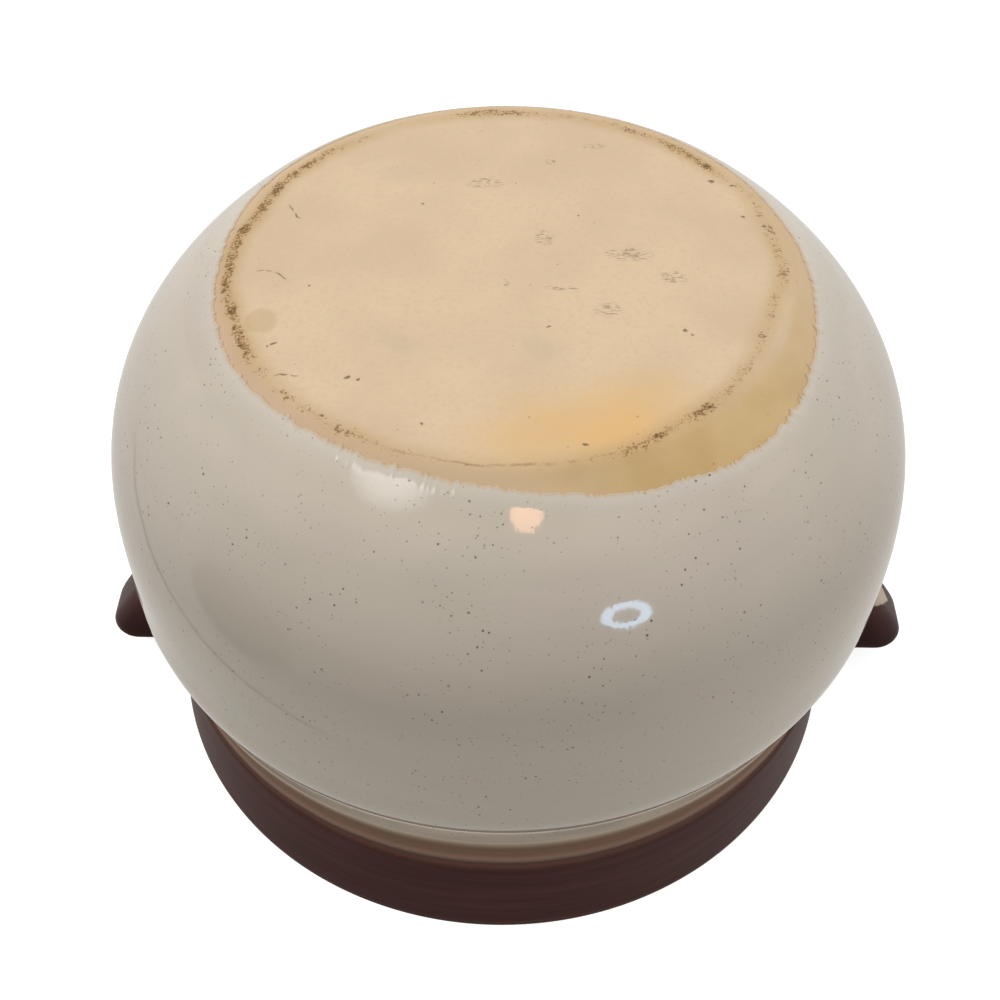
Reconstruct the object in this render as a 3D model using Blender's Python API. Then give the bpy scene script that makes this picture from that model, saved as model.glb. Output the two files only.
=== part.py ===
"""Two-handled stoneware bean pot, standing mouth down on its rim.

The plane that the rim rests on is z = 0, +Z runs up to the flat foot, and the handles lie along X.
Metres throughout. Every outline is a list of (radius, height) points, turned about the Z axis.
"""

import math

import bmesh
import bpy
from mathutils import Matrix, Vector

# Thrown body, bare clay
pot_height = 0.1258
rim_radius = 0.0836
foot_radius = 0.0574
foot_edge_round = 0.0012
wall_thickness = 0.0066
floor_thickness = 0.0080
floor_corner_round = 0.0120

# Collar: its height over the rim, then the groove, bead and cove above its edge, and the crease where the
# flared neck meets the belly
collar_height = 0.0250
collar_taper = 0.0016
collar_edge_round = 0.0007
groove_inset = 0.0007
groove_rise = 0.0016
groove_round = 0.0012
bead_inset = 0.0001
bead_rise = 0.0043
bead_round = 0.0010
cove_inset = 0.0006
cove_rise = 0.0078
cove_round = 0.0040
neck_flare = 0.0045
neck_rise = 0.0252
lip_thickness = 0.0062
lip_round = 0.0015
collar_radius = rim_radius - collar_taper
neck_radius = collar_radius + neck_flare
neck_height = collar_height + neck_rise

# Belly: how far it swells past the neck, and how quickly it draws in towards the foot and towards the neck
belly_swell = 0.00225
belly_lower_rise = 0.0100
belly_straight_height = 0.0076
belly_upper_power = 2.65
belly_lower_power = 2.0
belly_radius = neck_radius + belly_swell
belly_lower_height = neck_height + belly_lower_rise
belly_upper_height = belly_lower_height + belly_straight_height

# The shelf inside the neck, on which the pot's lid seats
collar_wall = 0.0055
shelf_rise = 0.0030
shelf_width = 0.0040
shelf_round = 0.0024
throat_rise = 0.0088
throat_round = 0.0034
shelf_outer_radius = collar_radius - collar_wall
shelf_height = collar_height + shelf_rise
throat_radius = shelf_outer_radius - shelf_width
throat_height = shelf_height + throat_rise

# Fired glaze coats
glaze_thickness = 0.0004
glaze_gap = 0.0003
glaze_foot_margin = 0.0010
glaze_rim_margin = 0.0010
two_tone_rise = 0.0163
dip_line_drop = 0.0018
dip_line_tilt = math.radians(2.4)
dip_line_low_side = math.radians(-39)
two_tone_height = collar_height + two_tone_rise
dip_line_height = pot_height - dip_line_drop

# Handle lugs, pressed on between the collar and the belly; the projection is past the belly's widest line
lug_projection = 0.0160
lug_width = 0.0220
lug_base_height = 0.0070
lug_top_drop = 0.0022
lug_top_depth = 0.0107
lug_top_height = neck_height - lug_top_drop
lug_top_reach = neck_radius - lug_top_depth
lug_corner_round = 0.0075
lug_edge_round = 0.0020
lug_lean_power = 1.1
lug_taper_share = 0.25
lug_joint_gap = 0.0003

# Fired colours and gloss
clay_colour = (0.72, 0.53, 0.35)
cream_colour = (0.47, 0.43, 0.36)
brown_colour = (0.055, 0.022, 0.017)
clay_roughness = 0.75
glaze_roughness = 0.24
glaze_coat = 0.5

# Fineness of the turned and lofted shapes
turn_steps = 42
belly_upper_steps = 8
belly_lower_steps = 4
round_steps = 2
lug_corner_steps = 5
lug_level_steps = 6
smooth_angle = math.radians(40)
weld_distance = 0.00003
cut_overrun = 0.0100


def clear_scene():
    for thing in list(bpy.data.objects):
        bpy.data.objects.remove(thing, do_unlink=True)


def ceramic(name, colour, roughness, coat):
    """A fired surface: a Principled material with the part's colour and gloss."""
    surface = bpy.data.materials.new(name)
    surface.use_nodes = True
    shader = surface.node_tree.nodes["Principled BSDF"]
    shader.inputs["Base Color"].default_value = (*colour, 1)
    shader.inputs["Roughness"].default_value = roughness
    shader.inputs["Metallic"].default_value = 0
    shader.inputs["Coat Weight"].default_value = coat
    surface.diffuse_color = (*colour, 1)
    return surface


def rounded(corners):
    """An outline through (radius, height, round) corners, each rounded by an arc of its own radius."""
    points = []
    for index, (radius, height, arc_radius) in enumerate(corners):
        here = Vector((radius, height))
        if arc_radius == 0 or index in (0, len(corners) - 1):
            points.append(here)
            continue
        back = (Vector(corners[index - 1][:2]) - here).normalized()
        ahead = (Vector(corners[index + 1][:2]) - here).normalized()
        half_angle = back.angle(ahead) / 2
        centre = here + (back + ahead).normalized() * arc_radius / math.sin(half_angle)
        start = here + back * arc_radius / math.tan(half_angle) - centre
        sweep = start.angle_signed(here + ahead * arc_radius / math.tan(half_angle) - centre)
        for step in range(round_steps + 1):
            turned_to = start.copy()
            turned_to.rotate(Matrix.Rotation(-sweep * step / round_steps, 2))
            points.append(centre + turned_to)
    return points


def shifted(line, distance):
    """The outline moved sideways: outwards from the clay on a line that runs down its outer side."""
    moved = []
    for index, point in enumerate(line):
        back = line[max(index - 1, 0)]
        ahead = line[min(index + 1, len(line) - 1)]
        before = (point - back) if index > 0 else (ahead - point)
        after = (ahead - point) if index < len(line) - 1 else (point - back)
        before.normalize()
        after.normalize()
        normal = Vector((-before.y - after.y, before.x + after.x)).normalized()
        mitre = normal.dot(Vector((-before.y, before.x)))
        moved.append(point + normal * distance / mitre)
    return moved


def between(line, high, low):
    """The stretch of a falling outline from height high down to height low, cut exactly there."""
    kept = []
    for start, end in zip(line, line[1:]):
        for height in (high, low):
            if start.y > height > end.y:
                share = (start.y - height) / (start.y - end.y)
                kept.append(start.lerp(end, share))
        if high > end.y > low:
            kept.append(end)
    return kept


def belly_line():
    """The belly's outer curve, from the foot's edge down to the crease where it meets the neck."""
    line = []
    for step in range(belly_upper_steps + 1):
        share = 1 - step / belly_upper_steps
        radius = belly_radius - (belly_radius - foot_radius) * share**belly_upper_power
        line.append(Vector((radius, belly_upper_height + (pot_height - belly_upper_height) * share)))
    for step in range(belly_lower_steps + 1):
        share = step / belly_lower_steps
        radius = belly_radius - (belly_radius - neck_radius) * share**belly_lower_power
        line.append(Vector((radius, belly_lower_height - (belly_lower_height - neck_height) * share)))
    return line


def outer_line():
    """The clay's outer outline, from the middle of the foot down to the lip."""
    belly = belly_line()
    foot = rounded(
        [
            (0, pot_height, 0),
            (foot_radius, pot_height, foot_edge_round),
            (*belly[1], 0),
        ]
    )
    neck_and_collar = rounded(
        [
            (*belly[-2], 0),
            (neck_radius, neck_height, 0),
            (collar_radius - cove_inset, collar_height + cove_rise, cove_round),
            (collar_radius - bead_inset, collar_height + bead_rise, bead_round),
            (collar_radius - groove_inset, collar_height + groove_rise, groove_round),
            (collar_radius, collar_height, collar_edge_round),
            (rim_radius, 0, lip_round),
            (rim_radius - lip_thickness / 2, 0, 0),
        ]
    )
    return foot + belly[2:-2] + neck_and_collar


def inner_line():
    """The clay's inner outline, from the middle of the floor down to the lip."""
    floor_height = pot_height - floor_thickness
    wall = between(shifted(belly_line(), -wall_thickness), floor_height, throat_height + throat_round)
    floor_corner = wall[0]
    wall = [point for point in wall if (point - floor_corner).length > floor_corner_round]
    floor = rounded([(0, floor_height, 0), (*floor_corner, floor_corner_round), (*wall[0], 0)])
    throat = rounded(
        [
            (*wall[-1], 0),
            (throat_radius, throat_height, throat_round),
            (shelf_outer_radius, shelf_height, shelf_round),
            (rim_radius - lip_thickness, 0, lip_round),
            (rim_radius - lip_thickness / 2, 0, 0),
        ]
    )
    return floor + wall[1:-1] + throat


def turned(name, outline, closed, surface):
    """A solid of revolution: the outline spun once about the pot's axis."""
    mesh = bpy.data.meshes.new(name)
    edges = [(i, i + 1) for i in range(len(outline) - 1)]
    if closed:
        edges.append((len(outline) - 1, 0))
    mesh.from_pydata([(point.x, 0, point.y) for point in outline], edges, [])
    piece = bpy.data.objects.new(name, mesh)
    bpy.context.collection.objects.link(piece)
    piece.data.materials.append(surface)
    spin = piece.modifiers.new("Turn on the wheel", "SCREW")
    spin.steps = turn_steps
    spin.render_steps = turn_steps
    spin.use_merge_vertices = True
    spin.merge_threshold = weld_distance
    spin.use_smooth_shade = True
    return piece


def cut_away(piece, cutter, label):
    cutter.hide_render = True
    cutter.display_type = "WIRE"
    cut = piece.modifiers.new(label, "BOOLEAN")
    cut.operation = "DIFFERENCE"
    cut.object = cutter


def pot_body(surface):
    outline = outer_line()[:-1] + inner_line()[::-1]
    return turned("pot_body", outline, False, surface)


def skin(line, high, low):
    """The closed section of a glaze coat that lies on the clay between two heights."""
    inner_face = between(shifted(line, glaze_gap), high, low)
    outer_face = between(shifted(line, glaze_gap + glaze_thickness), high, low)
    return outer_face + inner_face[::-1]


def dip_line_cutter():
    """Everything above the tilted surface of the glaze bath, into which the pot was dipped rim first."""
    side = 2 * (belly_radius + cut_overrun)
    bpy.ops.mesh.primitive_cube_add(size=side)
    cutter = bpy.context.object
    cutter.name = "dip_line_cutter"
    tilt = Matrix.Rotation(dip_line_low_side, 4, "Z") @ Matrix.Rotation(dip_line_tilt, 4, "Y")
    raised = Matrix.Translation((0, 0, dip_line_height))
    cutter.matrix_world = raised @ tilt @ Matrix.Translation((0, 0, side / 2))
    return cutter


def cream_glaze(surface):
    """The cream coat: from the tilted dip line near the foot, over the belly, onto the flared neck."""
    section = skin(outer_line(), pot_height - glaze_foot_margin, two_tone_height + glaze_gap / 2)
    coat = turned("cream_glaze", section, True, surface)
    cut_away(coat, dip_line_cutter(), "Dip line")
    return coat


def collar_glaze(surface):
    """The brown coat: over the neck's lower half, the collar and its rings, ending clear of the lip's face."""
    section = skin(outer_line(), two_tone_height - glaze_gap / 2, glaze_rim_margin)
    return turned("collar_glaze", section, True, surface)


def liner_glaze(surface):
    """The brown coat inside, from the middle of the floor to the lip."""
    line = inner_line()
    clay_side = shifted(line, -glaze_gap)
    hollow_side = shifted(line, -glaze_gap - glaze_thickness)
    clay_side = clay_side[:1] + between(clay_side, clay_side[0].y, glaze_rim_margin)
    hollow_side = hollow_side[:1] + between(hollow_side, hollow_side[0].y, glaze_rim_margin)
    return turned("liner_glaze", clay_side + hollow_side[::-1], False, surface)


def lug_levels(root):
    """(height, reach, half width, corner) of each level of a lug, from its flat rim-side face to its tip."""
    half_width = lug_width / 2
    lug_reach = belly_radius + lug_projection
    levels = []
    for step in range(round_steps + 1):
        angle = math.pi / 2 * step / round_steps
        inset = lug_edge_round * (1 - math.sin(angle))
        height = lug_base_height + lug_edge_round * (1 - math.cos(angle))
        levels.append((height, lug_reach - inset, half_width - inset, lug_corner_round - inset))
    start = lug_base_height + lug_edge_round
    for step in range(1, lug_level_steps + 1):
        share = step / lug_level_steps
        height = start + (lug_top_height - start) * share
        reach = lug_reach - (lug_reach - lug_top_reach) * share**lug_lean_power
        narrowing = 1 - lug_taper_share * share
        corner = min(lug_corner_round * narrowing, reach - root)
        levels.append((height, reach, half_width * narrowing, corner))
    return levels


def lug_loop(shape, root, height, reach, half_width, corner):
    """One level of a lug: a flat back inside the wall, straight sides and two rounded front corners."""
    outline = [(root, -half_width)]
    for side in (-1, 1):
        for step in range(lug_corner_steps + 1):
            angle = math.pi / 2 * (step / lug_corner_steps + min(side, 0))
            along = reach - corner + corner * math.cos(angle)
            across = side * (half_width - corner) + corner * math.sin(angle)
            outline.append((along, across))
    outline.append((root, half_width))
    points = [shape.verts.new((along, across, height)) for along, across in outline]
    return [shape.edges.new(pair) for pair in zip(points, points[1:] + points[:1])]


def handle(name, side, cutter, surface):
    """A solid lug, lofted level by level and trimmed to seat on the collar, the neck and the belly."""
    shape = bmesh.new()
    root = lug_top_reach - wall_thickness
    loops = [lug_loop(shape, root, *level) for level in lug_levels(root)]
    bmesh.ops.bridge_loops(shape, edges=[edge for loop in loops for edge in loop])
    for end in (loops[0], loops[-1]):
        bmesh.ops.contextual_create(shape, geom=end)
    if side < 0:
        bmesh.ops.rotate(shape, verts=shape.verts, matrix=Matrix.Rotation(math.pi, 3, "Z"))
    bmesh.ops.recalc_face_normals(shape, faces=shape.faces)
    mesh = bpy.data.meshes.new(name)
    shape.to_mesh(mesh)
    shape.free()
    mesh.shade_smooth()
    mesh.set_sharp_from_angle(angle=smooth_angle)
    piece = bpy.data.objects.new(name, mesh)
    bpy.context.collection.objects.link(piece)
    piece.data.materials.append(surface)
    cut_away(piece, cutter, "Seat on the pot")
    return piece


def seat_cutter(surface):
    """The glazed pot as one solid block, larger by the joint's gap, that trims the lugs to their seat."""
    line = shifted(outer_line(), glaze_gap + glaze_thickness + lug_joint_gap)
    low_height = lug_base_height - cut_overrun / 2
    block = between(line, pot_height, max(low_height, glaze_rim_margin))
    outline = [Vector((0, block[0].y)), *block, Vector((0, block[-1].y))]
    return turned("lug_seat_cutter", outline, False, surface)


def build():
    clear_scene()
    clay = ceramic("buff_stoneware", clay_colour, clay_roughness, 0)
    cream = ceramic("cream_glaze", cream_colour, glaze_roughness, glaze_coat)
    brown = ceramic("brown_glaze", brown_colour, glaze_roughness, glaze_coat)
    pot_body(clay)
    cream_glaze(cream)
    collar_glaze(brown)
    liner_glaze(brown)
    seat = seat_cutter(clay)
    handle("handle_left", -1, seat, brown)
    handle("handle_right", 1, seat, brown)


build()
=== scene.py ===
# Two-handled stoneware bean pot, standing mouth down on its rim with the bare clay foot up.
# Metres throughout. The rim rests on z = 0, +Z runs up to the foot, and the handles lie along X.
import math

import bmesh
import bpy
import numpy as np
from mathutils import Matrix, Vector, noise


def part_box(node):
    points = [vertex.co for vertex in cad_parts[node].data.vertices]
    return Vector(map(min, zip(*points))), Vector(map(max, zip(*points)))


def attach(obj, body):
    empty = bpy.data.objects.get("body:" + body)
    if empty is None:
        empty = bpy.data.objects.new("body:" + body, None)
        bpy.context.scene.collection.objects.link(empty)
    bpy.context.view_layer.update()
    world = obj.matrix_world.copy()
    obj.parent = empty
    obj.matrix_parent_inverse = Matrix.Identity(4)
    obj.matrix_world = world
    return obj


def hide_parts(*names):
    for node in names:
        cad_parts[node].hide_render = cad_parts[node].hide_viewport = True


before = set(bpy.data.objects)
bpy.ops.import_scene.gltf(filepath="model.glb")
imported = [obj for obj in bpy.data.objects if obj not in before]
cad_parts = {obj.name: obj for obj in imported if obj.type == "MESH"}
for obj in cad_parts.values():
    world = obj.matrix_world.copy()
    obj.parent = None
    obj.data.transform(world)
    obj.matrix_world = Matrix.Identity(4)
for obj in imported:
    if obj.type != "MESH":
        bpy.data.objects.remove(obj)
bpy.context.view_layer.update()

# Camera
# A hand-held camera looks down at the foot from the front. The lens and the place were fitted to the
# outlines of the foot, the belly and the collar.
camera_lens = 47.52
camera_target = Vector((-0.0015, 0, 0.0528))
camera_distance = 0.323
camera_elevation = math.radians(48.361)
camera_azimuth = math.radians(1.2)
camera_roll = -0.0023
near_clip = 0.01

camera_view = bpy.data.cameras.new("camera")
camera_view.lens = camera_lens
camera_view.clip_start = near_clip
camera = bpy.data.objects.new("camera", camera_view)
bpy.context.scene.collection.objects.link(camera)
bpy.context.scene.camera = camera
camera.matrix_world = (
    Matrix.Rotation(camera_azimuth, 4, "Z")
    @ Matrix.Translation(camera_target)
    @ Matrix.Rotation(math.radians(90) - camera_elevation, 4, "X")
    @ Matrix.Translation((0, 0, camera_distance))
    @ Matrix.Rotation(camera_roll, 4, "Z")
)

# Room light
# A pale room, lit from above, dimmer at table height, and darker in front, below and on the right. A pale
# wall, a dark cupboard, a table's edge, a window and two lamps stand in it for the glaze to mirror.
room_strength = 1.45
room_stops = (
    (0.0, (0.49, 0.474, 0.452)),
    (0.15, (0.5, 0.485, 0.463)),
    (0.25, (0.512, 0.498, 0.478)),
    (0.37, (0.53, 0.52, 0.505)),
    (0.5, (0.58, 0.576, 0.569)),
    (0.63, (0.676, 0.676, 0.676)),
    (0.75, (0.841, 0.841, 0.841)),
    (0.855, (0.979, 0.979, 0.979)),
    (1.0, (1.0, 1.0, 1.0)),
)
# Directions are an azimuth from +X and an elevation, in degrees. Edges are the cosines of how far from such
# a direction a place starts and is full.
dark_front = (-104, 0)
dark_front_edges = (0.15, 0.9)
dark_front_heights = (1.1, 0.1)
dark_front_share = 0.675
shady_places = (
    ((-108, 40), (0.55, 0.95), 0.2),
    ((-122, -62), (0.5, 0.97), 0.22),
    ((-30, 45), (0.45, 0.95), 0.2),
)
left_wall = (178, -22)
left_wall_edges = (0.3, 0.95)
left_wall_brightness = 0.02
cupboard = (-157, -16)
cupboard_edges = (math.cos(math.radians(17)), math.cos(math.radians(13)))
cupboard_share = 0.7
table_edge_normal = (-0.491, -0.558, 0.67)
table_edge_offset = 0.014
table_edge_width = 0.018
table_edge_share = 0.95
table_edge_middle = (180, -37)
table_edge_ends = (0.78, 0.93)
window = (-140, 55)
window_edges = (math.cos(math.radians(13)), math.cos(math.radians(13 / 4)))
window_brightness = 3.2


def add_node(near, kind, values=None, **settings):
    """A new shader node in the tree that a socket is in. Its inputs get numbers or links."""
    tree = near.id_data
    made = tree.nodes.new("ShaderNode" + kind)
    for name, value in settings.items():
        setattr(made, name, value)
    for name, value in (values or {}).items():
        if isinstance(value, bpy.types.NodeSocket):
            tree.links.new(value, made.inputs[name])
        else:
            made.inputs[name].default_value = value
    return made


def reckoned(operation, first, second=0.0, third=0.0):
    """One sum on a socket, with numbers or other sockets."""
    return add_node(first, "Math", {0: first, 1: second, 2: third}, operation=operation).outputs[0]


def scaled(value, factor, shift=0.0):
    """A value multiplied by a factor and shifted."""
    return reckoned("MULTIPLY_ADD", value, factor, shift)


def rising(value, low, high):
    """0 below low, 1 above high, and a smooth rise between; falling where low is the larger."""
    values = {"Value": value, "From Min": low, "From Max": high}
    return add_node(value, "MapRange", values, interpolation_type="SMOOTHSTEP").outputs["Result"]


def laid_over(share, under, over):
    """One colour over another by a share. Each colour is three numbers or a socket."""
    values = {0: share, 6: under, 7: over}
    for slot_number in (6, 7):
        if isinstance(values[slot_number], tuple):
            values[slot_number] = (*values[slot_number], 1)
    return add_node(share, "Mix", values, data_type="RGBA").outputs[2]


def colour_by(share, stops):
    """The colour that a value from 0 to 1 picks out of a list of (share, colour) stops."""
    ramp = add_node(share, "ValToRGB", {"Fac": share})
    while len(ramp.color_ramp.elements) < len(stops):
        ramp.color_ramp.elements.new(0.5)
    for element, (place, colour) in zip(ramp.color_ramp.elements, stops):
        element.position = place
        element.color = (*colour, 1)
    return ramp.outputs["Color"]


def amount_by(share, stops):
    """The amount that a value from 0 to 1 picks out of a list of (share, amount) stops."""
    return colour_by(share, [(place, (amount, amount, amount)) for place, amount in stops])


def pointing(azimuth, elevation):
    """The unit vector towards an azimuth from +X and an elevation, in degrees."""
    flat = math.cos(math.radians(elevation))
    turned = math.radians(azimuth)
    return Vector((flat * math.cos(turned), flat * math.sin(turned), math.sin(math.radians(elevation))))


def towards(direction, middle, edges):
    """A soft round place about a middle direction: 0 outside its edges and 1 inside them."""
    near = add_node(direction, "VectorMath", {0: direction, 1: pointing(*middle)}, operation="DOT_PRODUCT")
    return rising(near.outputs["Value"], *edges)


def shut_out(place, share):
    """The share of the light that a dark place leaves."""
    return scaled(place, -share, 1.0)


def room_light():
    room = bpy.data.worlds.new("room")
    room.use_nodes = True
    tree = room.node_tree
    direction = add_node(tree, "TexCoord").outputs["Generated"]
    height = add_node(tree, "SeparateXYZ", {"Vector": direction}).outputs["Z"]
    colour = colour_by(scaled(height, 0.5, 0.5), room_stops)
    level = rising(reckoned("ABSOLUTE", height), *dark_front_heights)
    dark = reckoned("MULTIPLY", towards(direction, dark_front, dark_front_edges), level)
    kept = shut_out(dark, dark_front_share)
    for middle, edges, share in shady_places:
        shade = shut_out(towards(direction, middle, edges), share)
        kept = reckoned("MULTIPLY", kept, shade)
    across = add_node(tree, "VectorMath", {0: direction, 1: table_edge_normal}, operation="DOT_PRODUCT")
    off_edge = reckoned("ABSOLUTE", reckoned("ADD", across.outputs["Value"], table_edge_offset))
    on_edge = rising(off_edge, table_edge_width, table_edge_width / 3)
    on_left = towards(direction, table_edge_middle, table_edge_ends)
    shade = shut_out(reckoned("MULTIPLY", on_edge, on_left), table_edge_share)
    kept = reckoned("MULTIPLY", kept, shade)
    colour = add_node(tree, "VectorMath", {0: colour, "Scale": kept}, operation="SCALE").outputs[0]
    for middle, edges, brightness in (
        (window, window_edges, window_brightness),
        (left_wall, left_wall_edges, left_wall_brightness),
    ):
        glow = reckoned("MULTIPLY", towards(direction, middle, edges), brightness)
        colour = add_node(tree, "VectorMath", {0: colour, 1: glow}, operation="ADD").outputs[0]
    kept = shut_out(towards(direction, cupboard, cupboard_edges), cupboard_share)
    colour = add_node(tree, "VectorMath", {0: colour, "Scale": kept}, operation="SCALE").outputs[0]
    background = tree.nodes["Background"]
    tree.links.new(colour, background.inputs["Color"])
    background.inputs["Strength"].default_value = room_strength
    bpy.context.scene.world = room


# The ring lamp and the warm lamp hang where the belly mirrors them towards the camera.
ring_mirror_point = Vector((0.0222, -0.0748, 0.1072))
ring_direction = (-58.5, 17.2)
ring_distance = 0.55
ring_radius = 0.0515
ring_band = 0.015
ring_band_steps = 16
ring_turn_steps = 64
ring_flatness = 0.7
ring_turn = math.radians(-22)
ring_colour = (0.5, 0.74, 1.0)
ring_strength = 11
warm_mirror_point = Vector((0.0044, -0.0647, 0.1207))
warm_direction = (-81.4, 52.4)
warm_distance = 0.5
warm_size = (0.038, 0.034)
warm_turn_steps = 48
warm_turn = math.radians(12)
warm_colour = (1.0, 0.55, 0.33)
warm_strength = 10.9


def set_down(name, shape, surface):
    """The object made of a shape, in its material."""
    mesh = bpy.data.meshes.new(name)
    shape.to_mesh(mesh)
    shape.free()
    mesh.materials.append(surface)
    thing = bpy.data.objects.new(name, mesh)
    bpy.context.scene.collection.objects.link(thing)
    return thing


def glowing(name, colour, light_colour, strength):
    """A material of a colour that gives off light of its own."""
    material = bpy.data.materials.new(name)
    material.use_nodes = True
    shader = material.node_tree.nodes["Principled BSDF"]
    shader.inputs["Base Color"].default_value = (*colour, 1)
    shader.inputs["Emission Color"].default_value = (*light_colour, 1)
    shader.inputs["Emission Strength"].default_value = strength
    return material


def turned_whole(shape, geometry, steps):
    """An outline turned once about the Z axis and closed."""
    once = {"axis": (0, 0, 1), "cent": (0, 0, 0), "angle": math.tau, "use_merge": True}
    bmesh.ops.spin(shape, geom=geometry, steps=steps, **once)
    bmesh.ops.remove_doubles(shape, verts=shape.verts, dist=0.0001)
    bmesh.ops.recalc_face_normals(shape, faces=shape.faces)


def mirrored_lamp(name, shape, mirror_point, direction, distance, colour, strength):
    """A glowing shape, drawn flat about the origin, set up so that one point of the belly mirrors it."""
    azimuth, elevation = direction
    raised = Matrix.Rotation(math.radians(90 - elevation), 4, "X")
    aim = Matrix.Rotation(math.radians(azimuth + 90), 4, "Z") @ raised
    place = Matrix.Translation(mirror_point + pointing(azimuth, elevation) * distance) @ aim
    bmesh.ops.transform(shape, matrix=place, verts=shape.verts)
    lamp = set_down(name, shape, glowing(name + "_light", (0, 0, 0), colour, strength))
    lamp.visible_camera = False
    lamp.visible_diffuse = False
    lamp.visible_shadow = False


def ring_lamp():
    shape = bmesh.new()
    profile = Matrix.Translation((ring_radius, 0, 0)) @ Matrix.Rotation(math.pi / 2, 4, "X")
    bmesh.ops.create_circle(shape, radius=ring_band, segments=ring_band_steps, matrix=profile)
    turned_whole(shape, shape.verts[:] + shape.edges[:], ring_turn_steps)
    turned = Matrix.Rotation(ring_turn, 4, "Z") @ Matrix.Diagonal((1, ring_flatness, 1, 1))
    bmesh.ops.transform(shape, matrix=turned, verts=shape.verts)
    place = (ring_mirror_point, ring_direction, ring_distance)
    mirrored_lamp("ring_lamp", shape, *place, ring_colour, ring_strength)


def warm_lamp():
    shape = bmesh.new()
    bmesh.ops.create_circle(shape, cap_ends=True, radius=1, segments=warm_turn_steps)
    turned = Matrix.Rotation(warm_turn, 4, "Z") @ Matrix.Diagonal((*warm_size, 1, 1))
    bmesh.ops.transform(shape, matrix=turned, verts=shape.verts)
    place = (warm_mirror_point, warm_direction, warm_distance)
    mirrored_lamp("warm_lamp", shape, *place, warm_colour, warm_strength)


room_light()
ring_lamp()
warm_lamp()
bpy.context.scene.view_settings.view_transform = "Standard"

# Floor and backdrop
# One sheet of pale card that curves up all round into a backdrop. It glows a little, so that the pot's
# shadow on it stays faint, and the pot doesn't mirror it.
floor_radius = 1.6
backdrop_radius = 2.4
backdrop_height = 1.8
backdrop_steps = 12
backdrop_turn_steps = 96
floor_colour = (0.45, 0.45, 0.45)
floor_glow = 0.82
floor_roughness = 0.9


def floor_and_backdrop():
    shape = bmesh.new()
    profile = [(0, 0), (floor_radius, 0)]
    rise = backdrop_radius - floor_radius
    for step in range(1, backdrop_steps + 1):
        angle = math.pi / 2 * step / backdrop_steps
        profile.append((floor_radius + rise * math.sin(angle), rise * (1 - math.cos(angle))))
    profile.append((backdrop_radius, backdrop_height))
    points = [shape.verts.new((radius, 0, height)) for radius, height in profile]
    edges = [shape.edges.new(pair) for pair in zip(points, points[1:])]
    turned_whole(shape, points + edges, backdrop_turn_steps)
    bmesh.ops.reverse_faces(shape, faces=shape.faces)
    paint = glowing("pale_floor", floor_colour, (1, 1, 1), floor_glow)
    shader = paint.node_tree.nodes["Principled BSDF"]
    shader.inputs["Roughness"].default_value = floor_roughness
    shader.inputs["Specular IOR Level"].default_value = 0
    floor = set_down("floor", shape, paint)
    floor.data.shade_smooth()
    floor.visible_diffuse = False
    floor.visible_glossy = False
    floor.visible_shadow = False


floor_and_backdrop()

# Clay body
# The pot itself, thrown from buff stoneware and turned from one outline, outside and inside. Its foot and
# the face of its lip stay bare. It came off the wheel a bit crooked, so each height is a bit off the axis.
pot_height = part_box("pot_body")[1].z
belly_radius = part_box("pot_body")[1].x
foot_radius = 0.0574
foot_edge_round = 0.006
rim_radius = 0.0836
wall_thickness = 0.0066
floor_thickness = 0.008
floor_corner_round = 0.012
collar_radius = 0.082
collar_height = 0.025
collar_edge_round = 0.0007
# Turned corners of the outline: radius, height, and the radius of the arc
groove = (0.0813, 0.0266, 0.0012)
bead = (0.0819, 0.0293, 0.001)
cove = (0.0814, 0.0328, 0.004)
neck_radius = 0.0865
neck_height = 0.0502
belly_lower_height = 0.0602
belly_upper_height = 0.0678
belly_upper_power = 2.65
belly_lower_power = 2.0
lip_thickness = 0.0062
lip_round = 0.0015
shelf = (0.0765, 0.028, 0.0024)
throat = (0.0725, 0.0368, 0.0034)
lean_heights = (0, 0.025, 0.05, 0.064, 0.075, 0.1, 0.1258)
lean_right = (-0.0011, -0.00065, -0.0004, 0.0004, 0.00045, 0.0002, 0)
lean_back = (-0.0018, -0.0011, -0.0005, 0, 0, 0, 0)
belly_upper_steps = 44
belly_lower_steps = 16
round_steps = 6
body_turn_steps = 256
wedge_doublings = 4
weld_distance = 0.000005

clay_pale = (0.622, 0.47, 0.308)
clay_deep = (0.575, 0.43, 0.28)
dust_colour = (0.5, 0.4, 0.28)
# The orange colour below is painted warm light on the foot's front, not the clay's own colour.
painted_warm_light_colour = (0.655, 0.405, 0.16)
golden_pale = (0.6, 0.42, 0.205)
golden_deep = (0.53, 0.35, 0.145)
shoulder_left_colour = (0.6, 0.425, 0.3)
dirt_colour = (0.25, 0.14, 0.048)
mark_colour = (0.13, 0.08, 0.042)

clay_gloss = {"Roughness": 0.75, "Specular IOR Level": 0.25}
clay_relief = {"Strength": 0.25, "Distance": 0.0002}

# Layers: a colour, where its mark starts to show and where it is full, and how strong it is
clay_flecks = ((0.545, 0.398, 0.258), 0.45, 0.75, 0.45)
oval_layer = ((0.48, 0.335, 0.18), 0.05, 0.55, 0.55)
haze = ((0.455, 0.3, 0.14), 0.0042, 0.0, 0.8)
dirt_line = (dirt_colour, 0.38, 0.6, 0.6)
dirt = (dirt_colour, 0.695, 0.735, 0.85)
crust = ((0.105, 0.054, 0.02), 0.76, 0.8, 0.8)
scuffing = ((0.3, 0.215, 0.13), 0.49, 0.58, 0.75)

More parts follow.
